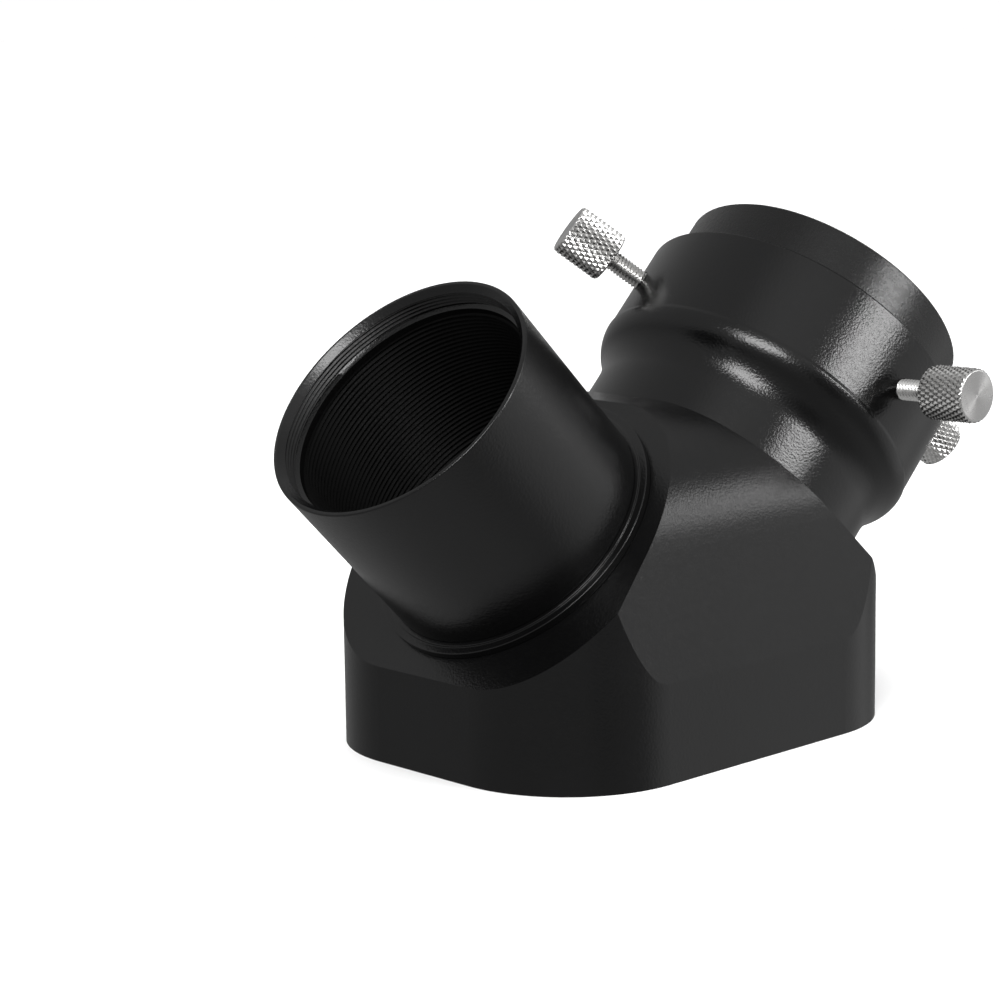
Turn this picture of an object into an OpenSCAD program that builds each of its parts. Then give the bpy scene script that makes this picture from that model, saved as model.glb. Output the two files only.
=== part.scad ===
// Star diagonal, 2-inch, with a removable 2-inch to 1.25-inch eyepiece adapter.
// Millimetres. X runs along the base from nosepiece (-X) to eyepiece (+X), Z is
// up, and the origin is the middle of the base's underside. The mirror's face is
// level, and the two optical axes meet on it at 45 degrees either side of Z.

/* [Body] */

// Half length of the footprint, along X
base_half_length = 47.6; // [40:0.1:60]
// Half width of the footprint, along Y
base_half_width = 35.9; // [28:0.1:45]
// Corner radius of the footprint
base_corner_r = 24.2; // [5:0.1:30]
// Height where the upright side walls start to lean in
side_lean_z = 17.7; // [12:0.1:25]
// Lean of the side walls from upright
side_lean = 9.4; // [0:0.1:15]
// Radius that rolls each leaning side over into the flat top
top_corner_r = 25.5; // [10:0.1:30]
// Height of the flat top
top_z = 61; // [50:0.1:70]
// Height of the mirror's face, where the optical axes meet
mirror_z = 15; // [10:0.5:20]
// Distance from the optical centre to the nosepiece-side face
nose_face = 35.3; // [30:0.1:40]
// Distance from the optical centre to the eyepiece-side face
eye_face = 34.9; // [30:0.1:40]
// Radius of the light path through the body
light_r = 23; // [18:0.1:24]
// Radius of the threaded seats for nosepiece and eyepiece holder
seat_r = 24.25; // [23:0.05:25]

/* [Nosepiece] */

// Radius of the 2-inch barrel
barrel_r = 25.4; // [25.3:0.01:25.5]
// Distance from the optical centre to the nosepiece rim
nose_rim = 73.5; // [60:0.1:90]
// Radius of the clear bore inside the anti-reflection ribs
nose_bore_r = 22.5; // [20:0.1:23]
// Pitch of the anti-reflection ribs
rib_pitch = 0.95; // [0.6:0.05:2]
// Depth of the anti-reflection ribs
rib_depth = 0.45; // [0.2:0.05:0.8]
// Radius of the filter thread's inner wall (M48 x 0.75)
filter_r = 23.6; // [23.4:0.05:24]
// Depth of the filter thread's end
filter_depth = 4.2; // [2:0.1:6]
// Width of the lead-in chamfer in front of the filter thread
filter_lead = 1.1; // [0.3:0.1:1.4]
// Depth at which the ribs begin
rib_start = 5.9; // [4:0.1:10]
// Radius of the flange against the body
nose_flange_r = 27.6; // [26:0.1:30]
// Thickness of the flange
nose_flange_thick = 1.4; // [1:0.1:3]
// Radius of the small step between flange and barrel
nose_step_r = 26.2; // [25.5:0.1:28]
// Height of the small step
nose_step_thick = 0.35; // [0.2:0.05:1]

/* [Eyepiece holder] */

// Radius of the neck
neck_r = 28.7; // [27:0.1:32]
// Distance from the optical centre to where the neck starts to flare
neck_top = 44.5; // [40:0.1:50]
// Radius of the hollow fillet at the foot of the flare
flare_fillet_r = 9.5; // [4:0.1:12]
// Radius of the clamp
clamp_r = 32.1; // [30:0.1:36]
// Height of the shoulder above the clamp's cylinder
shoulder_proud = 0.2; // [0:0.05:0.5]
// Distance from the optical centre to the lower edge of the clamp
clamp_bottom = 55; // [50:0.1:60]
// Distance from the optical centre to the top of the clamp
clamp_top = 73; // [65:0.1:80]
// Radius of the 2-inch bore
holder_bore_r = 25.47; // [25.4:0.01:25.6]
// Distance from the optical centre to the stop at the foot of the bore
holder_stop = 39; // [36:0.5:45]

/* [Thumbscrews] */

// Distance of the three clamp thumbscrews from the optical centre
screw_s = 63.5; // [60:0.1:68]
// Direction of the first clamp thumbscrew about the eyepiece axis
screw_first_angle = 148; // [0:1:359]
// Radius of the knurled head
head_r = 5.1; // [4:0.1:7]
// Length of the knurled head
head_length = 10; // [6:0.1:15]
// Distance of the clamp thumbscrews' end faces from the eyepiece axis
head_end = 49.2; // [45:0.1:55]
// Radius of the screw shank (M4)
shank_r = 2; // [1.5:0.05:3]

/* [Adapter] */

// Radius of the adapter's rim
adapter_r = 28.7; // [27:0.1:32]
// Distance from the optical centre to the adapter's top face
adapter_top = 83; // [78:0.1:90]
// Length of the adapter's 2-inch barrel
adapter_barrel_length = 31; // [20:0.5:33]
// Radius of the 1.25-inch bore
eyepiece_bore_r = 15.93; // [15.88:0.01:16]
// Distance from the optical centre to the stop in the 1.25-inch bore
eyepiece_stop = 53; // [48:0.5:60]
// Distance of the adapter's thumbscrew from the optical centre
adapter_screw_s = 78.8; // [77:0.1:80]
// Direction of the adapter's thumbscrew about the eyepiece axis
adapter_screw_angle = -16; // [-90:1:90]
// Distance of its end face from the eyepiece axis
adapter_head_end = 40.5; // [38:0.1:50]

/* [Mirror cell] */

// Length of the mirror
mirror_length = 72; // [66:0.5:74]
// Width of the mirror
mirror_width = 50; // [47:0.5:54]
// Thickness of the mirror
mirror_thick = 9; // [6:0.5:12]
// Thickness of the pads that locate the mirror
pad_thick = 1; // [0.5:0.1:2]
// Thickness of the back cover
cover_thick = 3; // [2:0.1:4]
// Thickness of the pressure plate behind the mirror
plate_thick = 1.6; // [1:0.1:3]

/* [Hidden] */

$fn = 96;
eps = 0.01;
root2 = sqrt(2);
fit_gap = 0.05;             // radial gap between parts that are screwed together
edge = 0.3;                 // turned edge break
seat_depth = 8;             // length of the threaded spigots
spigot_r = seat_r - fit_gap;
nose_flange_top = nose_face + nose_flange_thick;
nose_step_top = nose_flange_top + nose_step_thick;
ring_seat_r = barrel_r - 0.4;   // foot of the barrel, turned down for the ring
far = 200;                  // longer than the whole object

// Mirror cell, from the cover up
pocket_gap = pad_thick;
pocket_length = mirror_length + 2 * pocket_gap;
pocket_width = mirror_width + 2 * pocket_gap;
pocket_r = 4;
pocket_top = mirror_z + pad_thick;
mirror_corner_r = pocket_r - pocket_gap;
foam_bottom = cover_thick;
plate_bottom = mirror_z - mirror_thick - plate_thick;
foam_thick = plate_bottom - foam_bottom;
plate_inset = 2;
front_pad_r = 2.8;
front_pad_x = 31.5;
front_pad_y = 20.5;
edge_pad_length = 12;
edge_pad_height = 5;
edge_pad_bottom = mirror_z - edge_pad_height - 2;

// Back cover and its screws
cover_rim = 2.5;            // body wall left around the cover
cover_gap = 0.1;
cover_screw_r = 1.25;       // M2.5
cover_screw_head_r = 2.3;
cover_screw_length = 9;
cover_screw_sites = [[-41, 0], [41, 0], [-20, -29.2], [20, -29.2], [-20, 29.2], [20, 29.2]];

// Compression rings and their grooves
ring_gap = 3;               // split in each ring
ring_width = 6.4;
ring_in_r = barrel_r + 0.04;
ring_out_r = 26.9;
ring_groove_r = 27.2;
ring_side_gap = 0.2;
adapter_ring_width = 4.8;
adapter_ring_in_r = eyepiece_bore_r + 0.03;
adapter_ring_out_r = 17.3;
adapter_ring_groove_r = 17.6;

// Thumbscrews: pressure tip, shank and head along the screw's own axis
screw_hole_r = shank_r + fit_gap;
tip_r = 1.8;
tip_length = 0.9;
tip_gap = 0.02;
tip_stem_r = 0.75;
tip_stem_length = 1.7;
shank_chamfer = 0.4;
head_chamfer = 0.35;

// Flare of the eyepiece holder: a hollow fillet, then a rounded shoulder
shoulder_r = clamp_r + shoulder_proud;
shoulder_s = clamp_bottom - 0.5;
flare_run = shoulder_s - neck_top;
flare_rise = shoulder_r - neck_r;
flare_sum = (flare_run * flare_run + flare_rise * flare_rise) / (2 * flare_rise);
shoulder_curve_r = flare_sum - flare_fillet_r;
flare_angle = asin(flare_run / flare_sum);
flare_steps = 8;

// Adapter inside
adapter_bottom = clamp_top - adapter_barrel_length;
adapter_light_r = 14.5;
adapter_web_bottom = 50;

// ---- Shared frames and shapes ----

// Local Z runs out along the nosepiece from the optical centre.
module along_nosepiece() {
    translate([0, 0, mirror_z]) rotate([0, -45, 0]) children();
}

// Local Z runs out along the eyepiece holder from the optical centre.
module along_eyepiece() {
    translate([0, 0, mirror_z]) rotate([0, 45, 0]) children();
}

// Local Z runs out along a thumbscrew, from the eyepiece axis.
module along_screw(s, angle) {
    along_eyepiece() translate([0, 0, s]) rotate([0, 0, angle]) rotate([0, 90, 0]) children();
}

module rounded_rectangle(half_x, half_y, r) {
    union() {
        square([2 * half_x, 2 * (half_y - r)], center = true);
        square([2 * (half_x - r), 2 * half_y], center = true);
        for (sx = [-1, 1], sy = [-1, 1])
            translate([sx * (half_x - r), sy * (half_y - r)]) circle(r = r);
    }
}

module tube(r_out, r_in, bottom, top) {
    translate([0, 0, bottom]) difference() {
        cylinder(r = r_out, h = top - bottom);
        translate([0, 0, -eps]) cylinder(r = r_in, h = top - bottom + 2 * eps);
    }
}

// ---- Body ----

module footprint_block() {
    linear_extrude(top_z + eps) rounded_rectangle(base_half_length, base_half_width, base_corner_r);
}

// Side view: upright end walls, two faces square to the optical axes, flat top.
module side_block() {
    left_top = nose_face * root2 + mirror_z;
    right_top = eye_face * root2 + mirror_z;
    rotate([90, 0, 0]) linear_extrude(far, center = true) polygon([
        [-base_half_length, 0],
        [base_half_length, 0],
        [base_half_length, right_top - base_half_length],
        [right_top - top_z, top_z],
        [top_z - left_top, top_z],
        [-base_half_length, left_top - base_half_length]
    ]);
}

// End view: upright, then leaning in, then rolled over into a flat top.
module end_block() {
    corner_z = top_z - top_corner_r;
    corner_y = base_half_width - top_corner_r / cos(side_lean) - (corner_z - side_lean_z) * tan(side_lean);
    tangent_y = corner_y + top_corner_r * cos(side_lean);
    tangent_z = corner_z + top_corner_r * sin(side_lean);
    rotate([90, 0, 90]) linear_extrude(far, center = true) union() {
        polygon([
            [-base_half_width, 0],
            [base_half_width, 0],
            [base_half_width, side_lean_z],
            [tangent_y, tangent_z],
            [corner_y, top_z],
            [-corner_y, top_z],
            [-tangent_y, tangent_z],
            [-base_half_width, side_lean_z]
        ]);
        for (side = [-1, 1])
            translate([side * corner_y, corner_z]) circle(r = top_corner_r);
    }
}

module light_path() {
    intersection() {
        union() {
            along_nosepiece() translate([0, 0, -light_r]) cylinder(r = light_r, h = far);
            along_eyepiece() translate([0, 0, -light_r]) cylinder(r = light_r, h = far);
        }
        translate([-far / 2, -far / 2, mirror_z]) cube(far);
    }
}

module body() {
    color("#1b1c1e") difference() {
        intersection() {
            footprint_block();
            side_block();
            end_block();
        }
        light_path();
        along_nosepiece() translate([0, 0, nose_face - seat_depth]) cylinder(r = seat_r, h = far);
        along_eyepiece() translate([0, 0, eye_face - seat_depth]) cylinder(r = seat_r, h = far);
        translate([0, 0, -eps]) linear_extrude(pocket_top + eps)
            rounded_rectangle(pocket_length / 2, pocket_width / 2, pocket_r);
        translate([0, 0, -eps]) linear_extrude(cover_thick + eps) cover_outline(0);
        for (site = cover_screw_sites)
            translate([site[0], site[1], cover_thick - eps])
                cylinder(r = cover_screw_r + fit_gap, h = cover_screw_length - cover_thick + 1);
    }
}

// ---- Nosepiece ----

// One groove after another down the bore, from the smooth lead-in to the spigot.
function rib_points() = [
    for (z = [nose_rim - rib_start - rib_pitch : -rib_pitch : nose_face + 1])
        each [
            [nose_bore_r, z + rib_pitch * 0.75],
            [nose_bore_r + rib_depth, z + rib_pitch * 0.4],
            [nose_bore_r, z]
        ]
];

module nosepiece() {
    color("#232427") along_nosepiece() rotate_extrude() polygon(concat(
        [
            [nose_bore_r, nose_face - seat_depth],
            [spigot_r, nose_face - seat_depth],
            [spigot_r, nose_face],
            [ring_seat_r, nose_face],
            [ring_seat_r, nose_step_top],
            [barrel_r, nose_step_top],
            [barrel_r, nose_rim - edge],
            [barrel_r - edge, nose_rim],
            [filter_r + filter_lead, nose_rim],
            [filter_r, nose_rim - filter_lead],
            [filter_r, nose_rim - filter_depth],
            [light_r, nose_rim - filter_depth - edge],
            [light_r, nose_rim - rib_start],
            [nose_bore_r, nose_rim - rib_start]
        ],
        rib_points()
    ));
}

// Stepped ring round the foot of the barrel, against the body.
module nosepiece_ring() {
    color("#1f2023") along_nosepiece() rotate_extrude() polygon([
        [ring_seat_r + fit_gap, nose_face],
        [nose_flange_r, nose_face],
        [nose_flange_r, nose_flange_top],
        [nose_step_r, nose_flange_top],
        [nose_step_r, nose_step_top],
        [ring_seat_r + fit_gap, nose_step_top]
    ]);
}

// ---- Eyepiece holder ----

// Outline of the flare from the top of the neck up to the shoulder.
function flare_points() = concat(
    [for (i = [0 : flare_steps]) let (a = flare_angle * i / flare_steps)
        [neck_r + flare_fillet_r * (1 - cos(a)), neck_top + flare_fillet_r * sin(a)]],
    [for (i = [flare_steps - 1 : -1 : 0]) let (a = flare_angle * i / flare_steps)
        [shoulder_r - shoulder_curve_r * (1 - cos(a)), shoulder_s - shoulder_curve_r * sin(a)]]
);

module eyepiece_holder() {
    joint_line = 0.7;
    color("#1e1f22") difference() {
        along_eyepiece() rotate_extrude() polygon(concat(
            [
                [light_r, eye_face - seat_depth],
                [spigot_r, eye_face - seat_depth],
                [spigot_r, eye_face],
                [neck_r - joint_line, eye_face],
                [neck_r - joint_line, eye_face + joint_line],
                [neck_r, eye_face + joint_line]
            ],
            flare_points(),
            [
                [clamp_r, clamp_bottom],
                [clamp_r, clamp_top - edge],
                [clamp_r - edge, clamp_top],
                [holder_bore_r + edge, clamp_top],
                [holder_bore_r, clamp_top - edge],
                [holder_bore_r, screw_s + ring_width / 2 + ring_side_gap],
                [ring_groove_r, screw_s + ring_width / 2 + ring_side_gap],
                [ring_groove_r, screw_s - ring_width / 2 - ring_side_gap],
                [holder_bore_r, screw_s - ring_width / 2 - ring_side_gap],
                [holder_bore_r, holder_stop],
                [light_r, holder_stop]
            ]
        ));
        for (i = [1 : 3])
            along_screw(screw_s, clamp_angle(i)) translate([0, 0, ring_groove_r - 1])
                cylinder(r = screw_hole_r, h = clamp_r);
    }
}

module split_ring(r_out, r_in, width, angle) {
    difference() {
        tube(r_out, r_in, -width / 2, width / 2);
        rotate([0, 0, angle]) translate([r_in - 2, -ring_gap / 2, -width]) cube([r_out, ring_gap, 2 * width]);
    }
}

module compression_ring() {
    color("#b08d4a") along_eyepiece() translate([0, 0, screw_s])
        split_ring(ring_out_r, ring_in_r, ring_width, screw_first_angle + 60);
}

// ---- Thumbscrews ----

function clamp_angle(i) = screw_first_angle + 120 * (i - 1);

// Turned tip that stays still while the screw turns on its stem.
module pressure_tip(start) {
    color("#a98545") translate([0, 0, start]) union() {
        cylinder(r = tip_r, h = tip_length);
        cylinder(r = tip_stem_r, h = tip_length + tip_stem_length);
    }
}

module knurled_screw(start, end) {
    shank_start = start + tip_length + fit_gap;
    color("#c9c9c6") difference() {
        rotate_extrude() polygon([
            [0, shank_start],
            [shank_r - shank_chamfer, shank_start],
            [shank_r, shank_start + shank_chamfer],
            [shank_r, end - head_length],
            [head_r - head_chamfer, end - head_length],
            [head_r, end - head_length + head_chamfer],
            [head_r, end - head_chamfer],
            [head_r - head_chamfer, end],
            [0, end]
        ]);
        translate([0, 0, shank_start - eps])
            cylinder(r = tip_stem_r + fit_gap, h = tip_stem_length + 2 * fit_gap);
    }
}

module thumbscrew(i) {
    along_screw(screw_s, clamp_angle(i)) knurled_screw(ring_out_r + tip_gap, head_end);
}

module thumbscrew_tip(i) {
    along_screw(screw_s, clamp_angle(i)) pressure_tip(ring_out_r + tip_gap);
}

// ---- Adapter ----

// Collar that stands on the clamp and holds the eyepiece.
module adapter_collar() {
    groove_half = adapter_ring_width / 2 + ring_side_gap;
    color("#26272a") difference() {
        along_eyepiece() rotate_extrude() polygon([
            [eyepiece_bore_r, clamp_top],
            [adapter_r - edge, clamp_top],
            [adapter_r, clamp_top + edge],
            [adapter_r, adapter_top - edge],
            [adapter_r - edge, adapter_top],
            [eyepiece_bore_r + edge, adapter_top],
            [eyepiece_bore_r, adapter_top - edge],
            [eyepiece_bore_r, adapter_screw_s + groove_half],
            [adapter_ring_groove_r, adapter_screw_s + groove_half],
            [adapter_ring_groove_r, adapter_screw_s - groove_half],
            [eyepiece_bore_r, adapter_screw_s - groove_half]
        ]);
        along_screw(adapter_screw_s, adapter_screw_angle) translate([0, 0, adapter_ring_groove_r - 1])
            cylinder(r = screw_hole_r, h = adapter_r);
    }
}

// 2-inch barrel under the collar, with a stop for the eyepiece.
module adapter_barrel() {
    color("#242528") along_eyepiece() rotate_extrude() polygon([
        [filter_r, adapter_bottom],
        [barrel_r - edge, adapter_bottom],
        [barrel_r, adapter_bottom + edge],
        [barrel_r, clamp_top],
        [eyepiece_bore_r, clamp_top],
        [eyepiece_bore_r, eyepiece_stop],
        [adapter_light_r, eyepiece_stop],
        [adapter_light_r, adapter_web_bottom],
        [filter_r, adapter_web_bottom]
    ]);
}

module adapter_compression_ring() {
    color("#b08d4a") along_eyepiece() translate([0, 0, adapter_screw_s])
        split_ring(adapter_ring_out_r, adapter_ring_in_r, adapter_ring_width, adapter_screw_angle + 180);
}

module adapter_thumbscrew() {
    along_screw(adapter_screw_s, adapter_screw_angle)
        knurled_screw(adapter_ring_out_r + tip_gap, adapter_head_end);
}

module adapter_thumbscrew_tip() {
    along_screw(adapter_screw_s, adapter_screw_angle) pressure_tip(adapter_ring_out_r + tip_gap);
}

// ---- Mirror cell ----

module mirror_glass() {
    color("#cfd8dc") translate([0, 0, mirror_z - mirror_thick]) linear_extrude(mirror_thick)
        rounded_rectangle(mirror_length / 2, mirror_width / 2, mirror_corner_r);
}

// Soft discs between the mirror's face and the ledge around the light path.
module mirror_front_pad(i) {
    sx = i % 2 == 1 ? -1 : 1;
    sy = i > 2 ? 1 : -1;
    color("#e8e6df") translate([sx * front_pad_x, sy * front_pad_y, mirror_z])
        cylinder(r = front_pad_r, h = pad_thick);
}

// Soft blocks between the mirror's edge and the pocket wall, one on each side.
module mirror_edge_pad(i) {
    reach = i % 2 == 1 ? mirror_length / 2 : mirror_width / 2;
    color("#3a3a3a") rotate([0, 0, 90 * (i - 1)])
        translate([reach, -edge_pad_length / 2, edge_pad_bottom])
            cube([pocket_gap, edge_pad_length, edge_pad_height]);
}

module pressure_plate() {
    color("#9a9da1") translate([0, 0, plate_bottom]) linear_extrude(plate_thick)
        rounded_rectangle(mirror_length / 2 - plate_inset, mirror_width / 2 - plate_inset, mirror_corner_r);
}

module foam_pad() {
    color("#2c2c2c") translate([0, 0, foam_bottom]) linear_extrude(foam_thick)
        rounded_rectangle(mirror_length / 2 - plate_inset, mirror_width / 2 - plate_inset, mirror_corner_r);
}

module cover_outline(gap) {
    inset = cover_rim + gap;
    rounded_rectangle(base_half_length - inset, base_half_width - inset, base_corner_r - inset);
}

module screw_head_cone(gap) {
    cylinder(r1 = cover_screw_head_r + gap, r2 = cover_screw_r + gap, h = cover_screw_head_r - cover_screw_r);
}

module back_cover() {
    color("#202124") difference() {
        linear_extrude(cover_thick) cover_outline(cover_gap);
        for (site = cover_screw_sites) translate([site[0], site[1], 0]) {
            translate([0, 0, -eps]) cylinder(r = cover_screw_r + fit_gap, h = cover_thick + 2 * eps);
            translate([0, 0, -eps]) screw_head_cone(fit_gap);
        }
    }
}

module cover_screw() {
    socket_r = 0.85;
    socket_depth = 1.2;
    difference() {
        union() {
            screw_head_cone(0);
            cylinder(r = cover_screw_r, h = cover_screw_length);
        }
        translate([0, 0, -eps]) cylinder(r = socket_r, h = socket_depth, $fn = 6);
    }
}

module cover_screws() {
    color("#6d6f73") for (site = cover_screw_sites) translate([site[0], site[1], 0]) cover_screw();
}

// ---- Output ----

body();
nosepiece();
nosepiece_ring();
eyepiece_holder();
compression_ring();
thumbscrew(1);  // thumbscrew_1
thumbscrew(2);  // thumbscrew_2
thumbscrew(3);  // thumbscrew_3
thumbscrew_tip(1);  // thumbscrew_tip_1
thumbscrew_tip(2);  // thumbscrew_tip_2
thumbscrew_tip(3);  // thumbscrew_tip_3
adapter_collar();
adapter_barrel();
adapter_compression_ring();
adapter_thumbscrew();
adapter_thumbscrew_tip();
mirror_glass();  // mirror
mirror_front_pad(1);  // mirror_front_pad_1
mirror_front_pad(2);  // mirror_front_pad_2
mirror_front_pad(3);  // mirror_front_pad_3
mirror_front_pad(4);  // mirror_front_pad_4
mirror_edge_pad(1);  // mirror_edge_pad_1
mirror_edge_pad(2);  // mirror_edge_pad_2
mirror_edge_pad(3);  // mirror_edge_pad_3
mirror_edge_pad(4);  // mirror_edge_pad_4
pressure_plate();
foam_pad();
back_cover();
cover_screws();
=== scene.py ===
"""Star diagonal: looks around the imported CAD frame. Metres, row frame; MM turns millimetres into metres."""

import math

import bpy
import bmesh
from mathutils import Matrix, Vector


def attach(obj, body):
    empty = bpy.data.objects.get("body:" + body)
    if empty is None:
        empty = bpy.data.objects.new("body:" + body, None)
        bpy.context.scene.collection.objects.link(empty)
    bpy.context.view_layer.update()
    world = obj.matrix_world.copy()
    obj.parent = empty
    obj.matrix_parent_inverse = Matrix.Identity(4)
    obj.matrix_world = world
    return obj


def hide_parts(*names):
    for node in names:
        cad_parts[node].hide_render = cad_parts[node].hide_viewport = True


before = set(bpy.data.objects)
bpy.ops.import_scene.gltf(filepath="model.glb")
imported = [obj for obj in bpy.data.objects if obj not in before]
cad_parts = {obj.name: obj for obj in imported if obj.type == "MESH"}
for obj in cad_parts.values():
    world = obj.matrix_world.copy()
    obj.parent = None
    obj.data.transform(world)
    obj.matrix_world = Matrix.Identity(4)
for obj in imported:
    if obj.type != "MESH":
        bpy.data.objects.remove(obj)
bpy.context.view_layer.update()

MM = 0.001
TURN = 2 * math.pi

# ---- Sizes shared with the CAD, in millimetres ----

MIRROR_Z = 15
SPIGOT_R = 24.2
SEAT_DEPTH = 8
NOSE_FACE, NOSE_RIM = 35.3, 73.5
BARREL_R = 25.4
NOSE_BORE_R, LIGHT_R = 22.5, 23
FILTER_R, FILTER_DEPTH, FILTER_LEAD, FILTER_PITCH = 23.6, 4.2, 1.1, 0.75
RIB_START, RIB_PITCH, RIB_DEPTH = 5.9, 0.95, 0.45
RING_SEAT_R = 25.0
NOSE_FLANGE_R, NOSE_FLANGE_TOP = 27.6, 36.7
NOSE_STEP_R, NOSE_STEP_TOP = 26.2, 37.05

EYE_FACE = 34.9
NECK_R, NECK_TOP = 28.7, 44.5
FLARE_FILLET_R, FLARE_CURVE_R, FLARE_ANGLE = 9.5, 6.19, 39.6
SHOULDER_R, SHOULDER_S = 32.3, 54.5
CLAMP_R, CLAMP_BOTTOM, CLAMP_TOP = 32.1, 55, 73
HOLDER_BORE_R, HOLDER_STOP = 25.47, 39
RING_GROOVE_R, RING_GROOVE_HALF = 27.2, 3.4

COLLAR_R, COLLAR_TOP = 28.7, 83
EYEPIECE_BORE_R = 15.93
COLLAR_GROOVE_R, COLLAR_GROOVE_HALF = 17.6, 2.6

SCREW_S, SCREW_ANGLES, SCREW_START, SCREW_END = 63.5, (148, 268, 28), 26.92, 49.2
ADAPTER_SCREW_S, ADAPTER_SCREW_ANGLE = 78.8, -16
ADAPTER_SCREW_START, ADAPTER_SCREW_END = 17.32, 40.5
HEAD_R, HEAD_LENGTH = 5.1, 10
SHANK_R, SHANK_PITCH, SHANK_HOLE_R = 2, 0.7, 2.05
TIP_LENGTH, TIP_GAP, STEM_HOLE_R, STEM_HOLE_DEPTH = 0.9, 0.05, 0.8, 1.8

# ---- Finer detail, in millimetres ----

FILTER_THREAD_DEPTH = 0.4
THREAD_RELIEF = 0.2
RIB_END = NOSE_FACE + 1
JOINT_GROOVE = 0.7
CHAMFER = 0.4
BARREL_BREAK, RING_BREAK, FOOT_BREAK, CLAMP_BREAK = 0.3, 0.18, 0.2, 0.1
BODY_BREAK, COVER_BREAK = 0.4, 0.3
KNURL_COUNT = 30
KNURL_DEPTH = 0.42
KNURL_LEAD = 0.51  # knurl turns of phase per millimetre along the head
HEAD_ROWS = 84
HEAD_CHAMFER = 0.5
SHANK_THREAD_DEPTH = 0.36
SHANK_PLAIN = 0.4
ROWS_PER_PITCH = 8

# ---- Frames ----

def tilted(angle):
    """Local Z leaves the optical centre, leaned by angle degrees about Y."""
    return Matrix.Translation((0, 0, MIRROR_Z * MM)) @ Matrix.Rotation(math.radians(angle), 4, "Y")


ALONG_NOSE = tilted(-45)
ALONG_EYE = tilted(45)


def along_screw(s, angle):
    """Local Z runs out along a thumbscrew, from the eyepiece axis."""
    turn = Matrix.Rotation(math.radians(angle), 4, "Z")
    return ALONG_EYE @ Matrix.Translation((0, 0, s * MM)) @ turn @ Matrix.Rotation(math.pi / 2, 4, "Y")


# ---- Mesh helpers ----

SEGMENTS, HOLE_SEGMENTS = 224, 48
SMOOTH_ANGLE = math.radians(35)
FLAT_ENOUGH = math.radians(150)
LONG_STRAIGHT = 0.9
BRACE = 0.12
CORNER_STEPS, FLARE_STEPS = 4, 14
ON_WALL = 0.01


def vee(t):
    """Triangle wave from 0 to 1 and back, once per unit."""
    t = t % 1
    return 2 * t if t < 0.5 else 2 - 2 * t


def softened(points, radius, closed=True):
    """The outline with each corner turned over a small radius, as an edge break."""
    out = []
    count = len(points)
    for i, p in enumerate(points):
        if not closed and i in (0, count - 1):
            out.append(p)
            continue
        a, b, c = (Vector(points[i - 1]), Vector(p), Vector(points[(i + 1) % count]))
        u, v = (a - b), (c - b)
        angle = u.angle(v)
        if angle > FLAT_ENOUGH:
            out.append(p)
            continue
        cut = min(radius / math.tan(angle / 2), 0.45 * u.length, 0.45 * v.length)
        start, end = b + u.normalized() * cut, b + v.normalized() * cut
        for k in range(CORNER_STEPS + 1):
            t = k / CORNER_STEPS
            q = start * (1 - t) ** 2 + b * 2 * t * (1 - t) + end * t ** 2
            out.append((q.x, q.y))
    return out


def braced(outline, closed):
    """Adds a point just inside each end of every long straight, so that shading stays true along it."""
    out = []
    for i, point in enumerate(outline):
        out.append(point)
        if i == len(outline) - 1 and not closed:
            break
        a, b = Vector(point), Vector(outline[(i + 1) % len(outline)])
        length = (b - a).length
        if length > LONG_STRAIGHT:
            out += [tuple(a.lerp(b, BRACE / length)), tuple(b.lerp(a, BRACE / length))]
    return out


def finish_mesh(name, bm, materials):
    mesh = bpy.data.meshes.new(name)
    bmesh.ops.recalc_face_normals(bm, faces=bm.faces)
    bm.to_mesh(mesh)
    bm.free()
    for material in materials:
        mesh.materials.append(material)
    mesh.shade_smooth()
    mesh.set_sharp_from_angle(angle=SMOOTH_ANGLE)
    obj = bpy.data.objects.new(name, mesh)
    bpy.context.scene.collection.objects.link(obj)
    return obj


def lathe(name, outline, materials, segments=SEGMENTS, closed=True, radius_at=None, material_at=None):
    """Surface of revolution about local Z from an (r, z) outline in millimetres.

    An open outline starts and ends on the axis. radius_at(r, z, turn) may move a point in or out,
    and material_at(r, z) picks a face's material slot."""
    outline = braced(outline, closed)
    bm = bmesh.new()
    rings = []
    for r, z in outline:
        if r < 1e-6:
            rings.append([bm.verts.new((0, 0, z * MM))])
            continue
        ring = []
        for i in range(segments):
            turn = i / segments
            radius = radius_at(r, z, turn) if radius_at else r
            x, y = radius * MM * math.cos(TURN * turn), radius * MM * math.sin(TURN * turn)
            ring.append(bm.verts.new((x, y, z * MM)))
        rings.append(ring)
    pairs = list(zip(rings, rings[1:] + rings[:1], outline, outline[1:] + outline[:1]))
    for low, high, p, q in pairs if closed else pairs[:-1]:
        slot = material_at((p[0] + q[0]) / 2, (p[1] + q[1]) / 2) if material_at else 0
        for i in range(segments):
            j = (i + 1) % segments
            corners = [low[i % len(low)], low[j % len(low)], high[j % len(high)], high[i % len(high)]]
            face = bm.faces.new(list(dict.fromkeys(corners)))
            face.material_index = slot
    return finish_mesh(name, bm, materials)


def place(obj, matrix, body, slot, *nodes):
    """Puts a piece in the row frame on its body, in place of the CAD nodes named."""
    obj.matrix_world = matrix
    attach(obj, body)
    if nodes:
        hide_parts(*nodes)
    return obj


# ---- Materials ----

def new_material(name, **sockets):
    material = bpy.data.materials.new(name)
    material.use_nodes = True
    shader = material.node_tree.nodes["Principled BSDF"]
    for key, value in sockets.items():
        shader.inputs[key.replace("_", " ")].default_value = value
    return material, material.node_tree, shader


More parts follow.
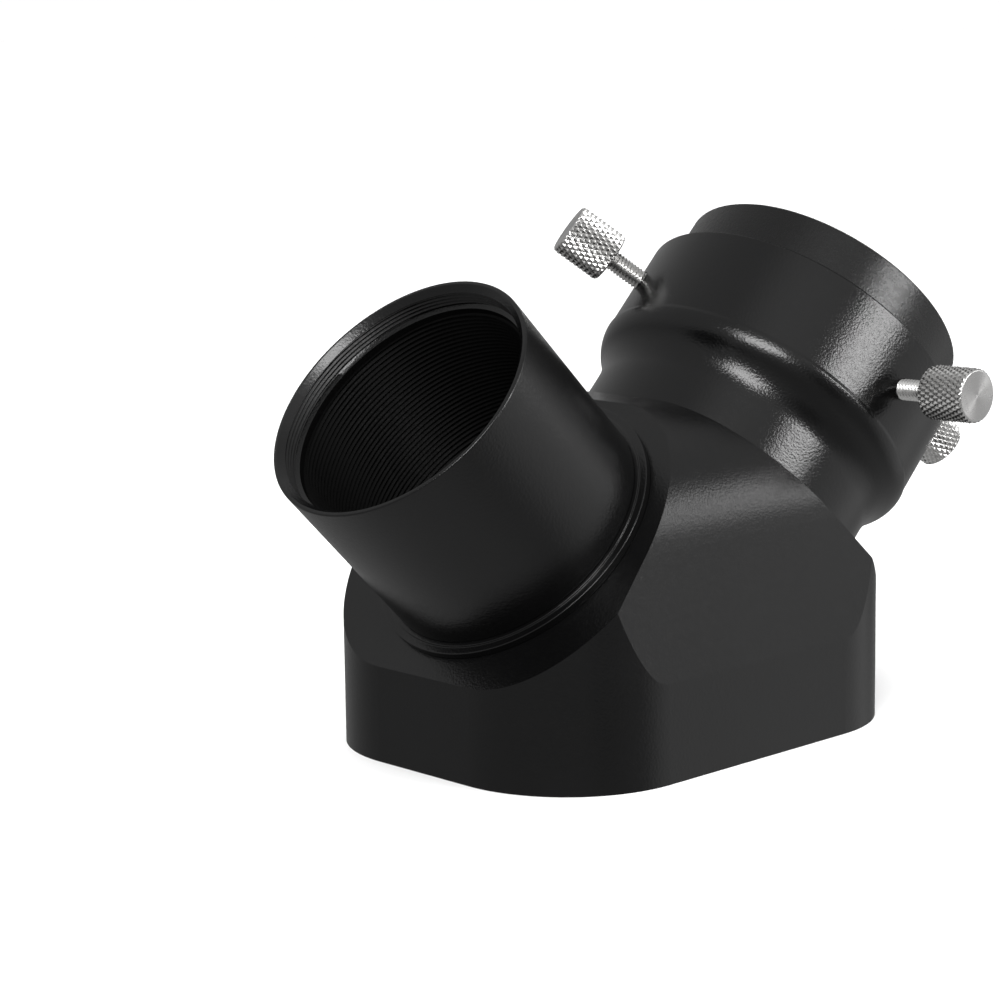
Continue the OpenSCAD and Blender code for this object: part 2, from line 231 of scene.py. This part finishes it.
def noise(tree, scale, detail, stretch=(1, 1, 1)):
    """Noise on object coordinates; scale is features per metre."""
    coords = tree.nodes.new("ShaderNodeTexCoord")
    mapping = tree.nodes.new("ShaderNodeMapping")
    mapping.inputs["Scale"].default_value = stretch
    texture = tree.nodes.new("ShaderNodeTexNoise")
    texture.inputs["Scale"].default_value = scale
    texture.inputs["Detail"].default_value = detail
    tree.links.new(coords.outputs["Object"], mapping.inputs["Vector"])
    tree.links.new(mapping.outputs["Vector"], texture.inputs["Vector"])
    return texture.outputs["Fac"]


NOISE_LOW, NOISE_HIGH = 0.3, 0.7


def spread(tree, value, low, high):
    """Maps the middle of a noise onto low..high."""
    node = tree.nodes.new("ShaderNodeMapRange")
    node.inputs["From Min"].default_value = NOISE_LOW
    node.inputs["From Max"].default_value = NOISE_HIGH
    node.inputs["To Min"].default_value = low
    node.inputs["To Max"].default_value = high
    tree.links.new(value, node.inputs["Value"])
    return node.outputs["Result"]


def colour_between(tree, value, low, high):
    node = tree.nodes.new("ShaderNodeMix")
    node.data_type = "RGBA"
    node.inputs["A"].default_value = (*low, 1)
    node.inputs["B"].default_value = (*high, 1)
    tree.links.new(value, node.inputs["Factor"])
    return node.outputs["Result"]


def bump(tree, shader, height, distance):
    node = tree.nodes.new("ShaderNodeBump")
    node.inputs["Distance"].default_value = distance
    tree.links.new(height, node.inputs["Height"])
    tree.links.new(node.outputs["Normal"], shader.inputs["Normal"])


GRAIN_SCALE, GRAIN_RELIEF = 2500, 0.00005


def anodised(name, grey, rough):
    """Satin black anodising over a fine blasted grain."""
    material, tree, shader = new_material(name)
    shade = spread(tree, noise(tree, 60, 4), 0, 1)
    colour = colour_between(tree, shade, (grey, grey, grey * 1.04), (grey * 1.5, grey * 1.5, grey * 1.58))
    tree.links.new(colour, shader.inputs["Base Color"])
    tree.links.new(spread(tree, noise(tree, 900, 2), *rough), shader.inputs["Roughness"])
    bump(tree, shader, noise(tree, GRAIN_SCALE, 2), GRAIN_RELIEF)
    return material


def metal(name, dark, light, rough, grain, relief, anisotropic=0.0, stretch=(1, 1, 1)):
    """Bare metal with fine tool marks."""
    material, tree, shader = new_material(name, Metallic=1.0, Anisotropic=anisotropic)
    marks = noise(tree, grain, 3, stretch)
    colour = colour_between(tree, spread(tree, marks, 0, 1), dark, light)
    tree.links.new(colour, shader.inputs["Base Color"])
    tree.links.new(spread(tree, noise(tree, grain / 4, 2), *rough), shader.inputs["Roughness"])
    bump(tree, shader, marks, relief)
    if anisotropic:
        tangent = tree.nodes.new("ShaderNodeTangent")
        tangent.direction_type = "RADIAL"
        tangent.axis = "Z"
        tree.links.new(tangent.outputs["Tangent"], shader.inputs["Tangent"])
    return material


def soft(name, dark, light, scale, relief, rough=(0.75, 0.9), specular=0.5):
    """Matte rubber, foam, plastic or black paint."""
    material, tree, shader = new_material(name, Specular_IOR_Level=specular)
    cells = noise(tree, scale, 4)
    colour = colour_between(tree, spread(tree, cells, 0, 1), dark, light)
    tree.links.new(colour, shader.inputs["Base Color"])
    tree.links.new(spread(tree, cells, *rough), shader.inputs["Roughness"])
    bump(tree, shader, cells, relief)
    return material


def mirror_coating():
    """Front-surface coating on the upper face, ground glass round the edge."""
    material, tree, shader = new_material("mirror_coating", Metallic=1.0)
    geometry = tree.nodes.new("ShaderNodeNewGeometry")
    split = tree.nodes.new("ShaderNodeSeparateXYZ")
    tree.links.new(geometry.outputs["Normal"], split.inputs["Vector"])
    up = tree.nodes.new("ShaderNodeMath")
    up.operation = "GREATER_THAN"
    up.inputs[1].default_value = 0.9
    tree.links.new(split.outputs["Z"], up.inputs[0])
    colour = colour_between(tree, up.outputs[0], (0.35, 0.42, 0.4), (0.9, 0.92, 0.95))
    tree.links.new(colour, shader.inputs["Base Color"])
    rough = tree.nodes.new("ShaderNodeMapRange")
    rough.inputs["To Min"].default_value = 0.5
    rough.inputs["To Max"].default_value = 0.03
    tree.links.new(up.outputs[0], rough.inputs["Value"])
    tree.links.new(rough.outputs["Result"], shader.inputs["Roughness"])
    return material


SATIN = anodised("body_anodised", 0.0022, (0.2, 0.26))
SATIN_BARREL = anodised("barrel_anodised", 0.0022, (0.2, 0.25))
SATIN_THREAD = anodised("thread_anodised", 0.002, (0.4, 0.5))
SATIN_HOLDER = anodised("holder_anodised", 0.0022, (0.16, 0.2))
SATIN_COLLAR = anodised("collar_anodised", 0.0025, (0.24, 0.3))
FLAT_BLACK = soft("flat_black", (0.001, 0.001, 0.001), (0.003, 0.003, 0.003), 3000, 0.00001, (0.5, 0.7),
                  specular=0.1)
KNURL_STEEL = metal("knurl_steel", (0.66, 0.655, 0.645), (0.86, 0.855, 0.845), (0.2, 0.32), 5000, 0.000003)
FACE_STEEL = metal("face_steel", (0.5, 0.495, 0.49), (0.6, 0.595, 0.59), (0.26, 0.32), 5000, 0.000001,
                   anisotropic=0.75)
BRASS = metal("turned_brass", (0.5, 0.34, 0.12), (0.72, 0.53, 0.22), (0.25, 0.4), 3000, 0.000004)
PLATE = metal("brushed_plate", (0.42, 0.43, 0.44), (0.6, 0.61, 0.62), (0.3, 0.5), 2500, 0.00001,
              stretch=(0.05, 1, 1))
BLACK_OXIDE = metal("black_oxide", (0.05, 0.05, 0.055), (0.12, 0.12, 0.13), (0.3, 0.45), 4000, 0.000004)
PAD_PLASTIC = soft("pad_plastic", (0.6, 0.59, 0.55), (0.74, 0.73, 0.69), 1500, 0.00001, (0.4, 0.55))
PAD_RUBBER = soft("pad_rubber", (0.012, 0.012, 0.012), (0.03, 0.03, 0.03), 2000, 0.00002)
FOAM = soft("foam_cells", (0.008, 0.008, 0.009), (0.04, 0.04, 0.042), 1800, 0.0002)
COATING = mirror_coating()


# ---- Nosepiece ----

def threaded(r, z, turn):
    """Cuts the filter thread and the anti-reflection ribs, both as one helix, into the bore."""
    if abs(r - FILTER_R) < ON_WALL and NOSE_RIM - FILTER_DEPTH < z < NOSE_RIM - FILTER_LEAD:
        return r + FILTER_THREAD_DEPTH * vee(z / FILTER_PITCH - turn)
    if abs(r - NOSE_BORE_R) < ON_WALL and RIB_END < z < NOSE_RIM - RIB_START:
        return r + RIB_DEPTH * vee(z / RIB_PITCH - turn)
    return r


def steps_down(r, top, bottom, pitch):
    """Rows close enough together to carry a thread of this pitch."""
    count = round((top - bottom) / pitch * ROWS_PER_PITCH)
    return [(r, top + (bottom - top) * k / count) for k in range(1, count)]


def make_nosepiece():
    thread_top, thread_bottom = NOSE_RIM - FILTER_LEAD, NOSE_RIM - FILTER_DEPTH
    rib_top = NOSE_RIM - RIB_START
    seat_bottom = NOSE_FACE - SEAT_DEPTH
    outside = softened([
        (FILTER_R + FILTER_LEAD, NOSE_RIM), (BARREL_R, NOSE_RIM), (BARREL_R, NOSE_STEP_TOP),
        (RING_SEAT_R, NOSE_STEP_TOP), (RING_SEAT_R, NOSE_FACE), (SPIGOT_R, NOSE_FACE),
        (SPIGOT_R, seat_bottom), (NOSE_BORE_R, seat_bottom)], BARREL_BREAK, closed=False)
    inside = [(NOSE_BORE_R, rib_top), (LIGHT_R, rib_top + 0.05), (LIGHT_R, thread_bottom - 0.4)]
    ribs = steps_down(NOSE_BORE_R, rib_top, RIB_END, RIB_PITCH)[::-1]
    thread = steps_down(FILTER_R, thread_top, thread_bottom, FILTER_PITCH)[::-1]
    outline = outside + [(NOSE_BORE_R, RIB_END)] + ribs + inside
    outline += [(FILTER_R + THREAD_RELIEF, thread_bottom)] + thread + [(FILTER_R, thread_top)]

    def slot_at(r, z):
        """0 outside, 1 in the ribbed bore, 2 on the filter thread."""
        if r < LIGHT_R + 0.3:
            return 1
        return 2 if thread_bottom < z < thread_top and r < FILTER_R + 0.1 else 0

    obj = lathe("nosepiece_tube", outline, [SATIN_BARREL, FLAT_BLACK, SATIN_THREAD], radius_at=threaded,
                material_at=slot_at)
    return place(obj, ALONG_NOSE, "diagonal", "nosepiece_black", "nosepiece")


def make_nosepiece_ring():
    bore_r = RING_SEAT_R + 0.05
    outline = softened([
        (bore_r, NOSE_FACE), (NOSE_FLANGE_R, NOSE_FACE), (NOSE_FLANGE_R, NOSE_FLANGE_TOP),
        (NOSE_STEP_R, NOSE_FLANGE_TOP), (NOSE_STEP_R, NOSE_STEP_TOP), (bore_r, NOSE_STEP_TOP)], RING_BREAK)
    obj = lathe("nosepiece_seat_ring", outline, [SATIN_BARREL])
    return place(obj, ALONG_NOSE, "diagonal", "nosepiece_black", "nosepiece_ring")


# ---- Eyepiece holder ----

def flare_outline():
    """A hollow fillet from the neck, then a round shoulder up to the clamp."""
    angles = [math.radians(FLARE_ANGLE) * k / FLARE_STEPS for k in range(FLARE_STEPS + 1)]
    fillet = [(NECK_R + FLARE_FILLET_R * (1 - math.cos(a)), NECK_TOP + FLARE_FILLET_R * math.sin(a))
              for a in angles]
    shoulder = [(SHOULDER_R - FLARE_CURVE_R * (1 - math.cos(a)), SHOULDER_S - FLARE_CURVE_R * math.sin(a))
                for a in angles[-2::-1]]
    return fillet + shoulder


def drill(obj, matrices, radius, start, length):
    """Cuts round holes and applies the cut."""
    cutters = []
    for matrix in matrices:
        bm = bmesh.new()
        middle = matrix @ Matrix.Translation((0, 0, (start + length / 2) * MM))
        bmesh.ops.create_cone(bm, cap_ends=True, segments=HOLE_SEGMENTS, radius1=radius * MM,
                              radius2=radius * MM, depth=length * MM, matrix=middle)
        mesh = bpy.data.meshes.new("cutter")
        bm.to_mesh(mesh)
        bm.free()
        cutter = bpy.data.objects.new("cutter", mesh)
        bpy.context.scene.collection.objects.link(cutter)
        cutters.append(cutter)
        modifier = obj.modifiers.new("hole", "BOOLEAN")
        modifier.object = cutter
        modifier.solver = "EXACT"
    applied = bpy.data.meshes.new_from_object(obj.evaluated_get(bpy.context.evaluated_depsgraph_get()))
    obj.modifiers.clear()
    old = obj.data
    obj.data = applied
    bpy.data.meshes.remove(old)
    for cutter in cutters:
        bpy.data.meshes.remove(cutter.data)
    obj.data.shade_smooth()
    obj.data.set_sharp_from_angle(angle=SMOOTH_ANGLE)
    return obj


def make_holder():
    groove_low, groove_high = SCREW_S - RING_GROOVE_HALF, SCREW_S + RING_GROOVE_HALF
    joint = JOINT_GROOVE
    foot = softened([
        (LIGHT_R, EYE_FACE - SEAT_DEPTH), (SPIGOT_R, EYE_FACE - SEAT_DEPTH), (SPIGOT_R, EYE_FACE),
        (NECK_R - joint, EYE_FACE), (NECK_R - joint, EYE_FACE + joint), (NECK_R, EYE_FACE + joint),
        (NECK_R, NECK_TOP - 1)], FOOT_BREAK, closed=False)
    clamp = softened([
        (SHOULDER_R, SHOULDER_S), (CLAMP_R, CLAMP_BOTTOM), (CLAMP_R, CLAMP_TOP - CHAMFER),
        (CLAMP_R - CHAMFER, CLAMP_TOP), (HOLDER_BORE_R, CLAMP_TOP), (HOLDER_BORE_R, groove_high),
        (RING_GROOVE_R, groove_high), (RING_GROOVE_R, groove_low), (HOLDER_BORE_R, groove_low),
        (HOLDER_BORE_R, HOLDER_STOP), (LIGHT_R, HOLDER_STOP)], CLAMP_BREAK, closed=False)
    outline = foot + flare_outline() + clamp[1:]

    def slot_at(r, z):
        """0 outside and in the bore, 1 on the light path below it."""
        return 1 if r < HOLDER_BORE_R - 0.2 and z < HOLDER_STOP + 0.2 else 0

    obj = lathe("holder_body", outline, [SATIN_HOLDER, FLAT_BLACK], material_at=slot_at)
    obj.matrix_world = ALONG_EYE
    bpy.context.view_layer.update()
    hole_length = 9
    lines = [along_screw(SCREW_S, angle) for angle in SCREW_ANGLES]
    drill(obj, lines, SHANK_HOLE_R, RING_GROOVE_R - 1, hole_length)
    return place(obj, ALONG_EYE, "diagonal", "holder_black", "eyepiece_holder")


def make_collar():
    low, high = ADAPTER_SCREW_S - COLLAR_GROOVE_HALF, ADAPTER_SCREW_S + COLLAR_GROOVE_HALF
    outline = softened([
        (EYEPIECE_BORE_R, CLAMP_TOP), (COLLAR_R - CHAMFER, CLAMP_TOP), (COLLAR_R, CLAMP_TOP + CHAMFER),
        (COLLAR_R, COLLAR_TOP - CHAMFER), (COLLAR_R - CHAMFER, COLLAR_TOP),
        (EYEPIECE_BORE_R + CHAMFER, COLLAR_TOP), (EYEPIECE_BORE_R, COLLAR_TOP - CHAMFER),
        (EYEPIECE_BORE_R, high), (COLLAR_GROOVE_R, high), (COLLAR_GROOVE_R, low),
        (EYEPIECE_BORE_R, low)], CLAMP_BREAK)
    obj = lathe("adapter_collar_ring", outline, [SATIN_COLLAR])
    obj.matrix_world = ALONG_EYE
    bpy.context.view_layer.update()
    hole_length = 15
    line = along_screw(ADAPTER_SCREW_S, ADAPTER_SCREW_ANGLE)
    drill(obj, [line], SHANK_HOLE_R, COLLAR_GROOVE_R - 1, hole_length)
    return place(obj, ALONG_EYE, "adapter", "adapter_black", "adapter_collar")


# ---- Thumbscrews ----

def knurl(z, turn):
    """Depth of the crossed grooves at a point on the head, in millimetres."""
    left = vee(KNURL_COUNT * turn + KNURL_LEAD * z)
    right = vee(KNURL_COUNT * turn - KNURL_LEAD * z)
    return KNURL_DEPTH * (1 - min(left, right))


def make_thumbscrew(name, start, end, matrix, body, node):
    """A threaded shank and a knurled head with a slightly dished end, from start to end along its axis."""
    head = end - HEAD_LENGTH
    shank_start = start + TIP_LENGTH + TIP_GAP
    thread_start = shank_start + SHANK_PLAIN
    thread_length = head - thread_start
    face_r = HEAD_R - HEAD_CHAMFER

    def radius_at(r, z, turn):
        if abs(r - HEAD_R) < ON_WALL:
            fade = min(1, (z - head) / HEAD_CHAMFER, (end - z) / HEAD_CHAMFER)
            return r - max(knurl(z, turn), (1 - fade) * HEAD_CHAMFER)
        if abs(r - SHANK_R) < ON_WALL and z < head - SHANK_PLAIN:
            return r - SHANK_THREAD_DEPTH * vee(z / SHANK_PITCH - turn)
        return r

    def slot_at(r, z):
        """0 on the shank and the knurl, 1 on the turned end."""
        return 1 if z > end - 0.1 and r < face_r else 0

    shank_rows = round(thread_length / SHANK_PITCH * ROWS_PER_PITCH)
    shank = [(SHANK_R, thread_start + thread_length * k / shank_rows) for k in range(shank_rows + 1)]
    rows = [(HEAD_R, head + HEAD_LENGTH * (k + 0.5) / HEAD_ROWS) for k in range(HEAD_ROWS)]
    stem_hole = [(0, shank_start + STEM_HOLE_DEPTH), (STEM_HOLE_R, shank_start + STEM_HOLE_DEPTH),
                 (STEM_HOLE_R, shank_start), (SHANK_R - SHANK_PLAIN, shank_start)]
    head_back = [(face_r - 0.3, head), (face_r, head + 0.02)]
    dished_end = [(face_r, end - 0.02), (face_r - 0.12, end), (0.5, end - 0.03), (0.25, end - 0.09),
                  (0, end - 0.12)]
    outline = stem_hole + shank + head_back + rows + dished_end
    obj = lathe(name, outline, [KNURL_STEEL, FACE_STEEL], KNURL_COUNT * 10, closed=False,
                radius_at=radius_at, material_at=slot_at)
    return place(obj, matrix, body, "screw_steel", node)


def make_thumbscrews():
    for i, angle in enumerate(SCREW_ANGLES, 1):
        make_thumbscrew(f"clamp_knob_{i}", SCREW_START, SCREW_END, along_screw(SCREW_S, angle),
                        f"clamp_screw_{i}", f"thumbscrew_{i}")
    line = along_screw(ADAPTER_SCREW_S, ADAPTER_SCREW_ANGLE)
    make_thumbscrew("adapter_knob", ADAPTER_SCREW_START, ADAPTER_SCREW_END, line,
                    "adapter_screw", "adapter_thumbscrew")


# ---- CAD nodes that stay ----

KEPT = {
    "body": SATIN,
    "back_cover": SATIN,
    "adapter_barrel": SATIN_COLLAR,
    "compression_ring": BRASS,
    "adapter_compression_ring": BRASS,
    "adapter_thumbscrew_tip": BRASS,
    "mirror": COATING,
    "pressure_plate": PLATE,
    "foam_pad": FOAM,
    "cover_screws": BLACK_OXIDE,
    **{f"thumbscrew_tip_{i}": BRASS for i in (1, 2, 3)},
    **{f"mirror_front_pad_{i}": PAD_PLASTIC for i in (1, 2, 3, 4)},
    **{f"mirror_edge_pad_{i}": PAD_RUBBER for i in (1, 2, 3, 4)},
}


def finish_cad_nodes():
    for name, material in KEPT.items():
        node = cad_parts[name]
        node.data.materials.clear()
        node.data.materials.append(material)
    for name, width in (("body", BODY_BREAK), ("back_cover", COVER_BREAK)):
        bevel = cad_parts[name].modifiers.new("edge_break", "BEVEL")
        bevel.width = width * MM
        bevel.segments = 3
        bevel.limit_method = "ANGLE"
        bevel.angle_limit = math.radians(25)
        bevel.use_clamp_overlap = True
        bevel.harden_normals = True


# ---- Stage, in metres and degrees ----

OBJECT_MIDDLE = Vector((0, 0, 0.045))
LIGHT_DISTANCE = 0.7
FLOOR_HALF, BACKDROP_R = 60, 8
OVERHEAD_STRENGTH, OVERHEAD_SPREAD = 3.6, 80

# Name, azimuth, elevation, twist, size and radiance of each soft panel.
PANELS = (
    ("key_right", 21.5, 21, -45, (0.30, 0.14), 12),
    ("fill_right", 52, 20, 0, (0.16, 0.2), 3.2),
    ("spot_left", -53, 35, 0, (0.38, 0.24), 11),
)

# Direction (azimuth, elevation), where the ramp starts and ends as a cosine, radiance before and after.
WORLD_LOBES = (
    ((0, 90), -0.3, 0.5, 0.25, 0.42),
    ((0, -90), 0.4, 0.9, 0.0, 0.13),
    ((57, -10), 0.78, 0.98, 0.0, 0.36),
    ((-16, 55), 0.8, 1.0, 0.0, 0.3),
    ((97, 14), 0.86, 0.97, 0.0, -0.24),
    ((-14, 5), 0.94, 0.99, 0.0, -0.2),
)

CAMERA_AZIMUTH, CAMERA_ELEVATION, CAMERA_ROLL = -43.591, 10.193, -0.802
CAMERA_TARGET = Vector((0, 0, 0.030))
CAMERA_BACK, CAMERA_LEFT, CAMERA_UP = 0.521287, 0.02071, 0.011875
LENS = 102.2


def towards(azimuth, elevation):
    """Unit vector out from the object; azimuth 0 is the front, -Y."""
    a, e = math.radians(azimuth), math.radians(elevation)
    return Vector((math.sin(a) * math.cos(e), -math.cos(a) * math.cos(e), math.sin(e)))


def rightwards(azimuth):
    """Level unit vector to the right of someone who looks at the object from this azimuth."""
    a = math.radians(azimuth)
    return Vector((math.cos(a), math.sin(a), 0))


def facing(across, upright, out):
    return Matrix((across, upright, out)).transposed().to_4x4()


def only_seen_by_camera(obj):
    """The studio's white surfaces stay out of the object's reflections."""
    obj.visible_glossy = False
    obj.visible_diffuse = False
    obj.visible_transmission = False


def make_floor():
    bm = bmesh.new()
    bmesh.ops.create_grid(bm, x_segments=4, y_segments=4, size=FLOOR_HALF)
    material = new_material("floor_white", Base_Color=(0.9, 0.9, 0.9, 1), Roughness=0.9)[0]
    floor = finish_mesh("floor", bm, [material])
    only_seen_by_camera(floor)
    return floor


def make_backdrop():
    bm = bmesh.new()
    bmesh.ops.create_icosphere(bm, subdivisions=4, radius=BACKDROP_R)
    material = new_material("backdrop_white", Base_Color=(0, 0, 0, 1), Emission_Color=(1, 1, 1, 1),
                            Emission_Strength=1.0)[0]
    backdrop = finish_mesh("backdrop", bm, [material])
    backdrop.visible_shadow = False
    only_seen_by_camera(backdrop)


def add_panel(name, azimuth, elevation, twist, size, radiance):
    """A soft panel facing the object, turned by twist degrees about the line to it."""
    out = towards(azimuth, elevation)
    across = rightwards(azimuth)
    data = bpy.data.lights.new(name, "AREA")
    data.shape = "RECTANGLE"
    data.size, data.size_y = size
    data.energy = radiance * math.pi * size[0] * size[1]
    light = bpy.data.objects.new(name, data)
    turned = facing(across, out.cross(across), out) @ Matrix.Rotation(math.radians(twist), 4, "Z")
    light.matrix_world = Matrix.Translation(OBJECT_MIDDLE + out * LIGHT_DISTANCE) @ turned
    bpy.context.scene.collection.objects.link(light)


def make_overhead(floor):
    """Lights the floor, and nothing else, to white."""
    data = bpy.data.lights.new("overhead", "SUN")
    data.energy = OVERHEAD_STRENGTH
    data.angle = math.radians(OVERHEAD_SPREAD)
    lamp = bpy.data.objects.new("overhead", data)
    bpy.context.scene.collection.objects.link(lamp)
    lit = bpy.data.collections.new("lit_by_overhead")
    lit.objects.link(floor)
    lamp.light_linking.receiver_collection = lit


def make_world():
    """Grey surroundings, brighter above, with paler and darker patches."""
    world = bpy.data.worlds.new("studio")
    world.use_nodes = True
    tree = world.node_tree
    coords = tree.nodes.new("ShaderNodeTexCoord")
    total = None
    for direction, start, end, low, high in WORLD_LOBES:
        dot = tree.nodes.new("ShaderNodeVectorMath")
        dot.operation = "DOT_PRODUCT"
        dot.inputs[1].default_value = towards(*direction)
        tree.links.new(coords.outputs["Generated"], dot.inputs[0])
        ramp = tree.nodes.new("ShaderNodeMapRange")
        ramp.interpolation_type = "SMOOTHSTEP"
        ramp.inputs["From Min"].default_value = start
        ramp.inputs["From Max"].default_value = end
        ramp.inputs["To Min"].default_value = low
        ramp.inputs["To Max"].default_value = high
        tree.links.new(dot.outputs["Value"], ramp.inputs["Value"])
        if total is None:
            total = ramp.outputs["Result"]
        else:
            add = tree.nodes.new("ShaderNodeMath")
            tree.links.new(total, add.inputs[0])
            tree.links.new(ramp.outputs["Result"], add.inputs[1])
            total = add.outputs[0]
    tree.links.new(total, tree.nodes["Background"].inputs["Color"])
    bpy.context.scene.world = world


def make_camera():
    roll = math.radians(CAMERA_ROLL)
    back = towards(CAMERA_AZIMUTH, CAMERA_ELEVATION)
    right = rightwards(CAMERA_AZIMUTH)
    up = back.cross(right)
    across = right * math.cos(roll) + up * math.sin(roll)
    upright = up * math.cos(roll) - right * math.sin(roll)
    data = bpy.data.cameras.new("camera")
    data.sensor_width = 36
    data.lens = LENS
    data.clip_start, data.clip_end = 0.01, 100
    camera = bpy.data.objects.new("camera", data)
    place_at = CAMERA_TARGET + back * CAMERA_BACK - across * CAMERA_LEFT + upright * CAMERA_UP
    camera.matrix_world = Matrix.Translation(place_at) @ facing(across, upright, back)
    bpy.context.scene.collection.objects.link(camera)
    bpy.context.scene.camera = camera


make_camera()
make_overhead(make_floor())
make_backdrop()
for panel in PANELS:
    add_panel(*panel)
make_world()
finish_cad_nodes()
make_nosepiece()
make_nosepiece_ring()
make_holder()
make_collar()
make_thumbscrews()
bpy.context.scene.view_settings.view_transform = "Standard"
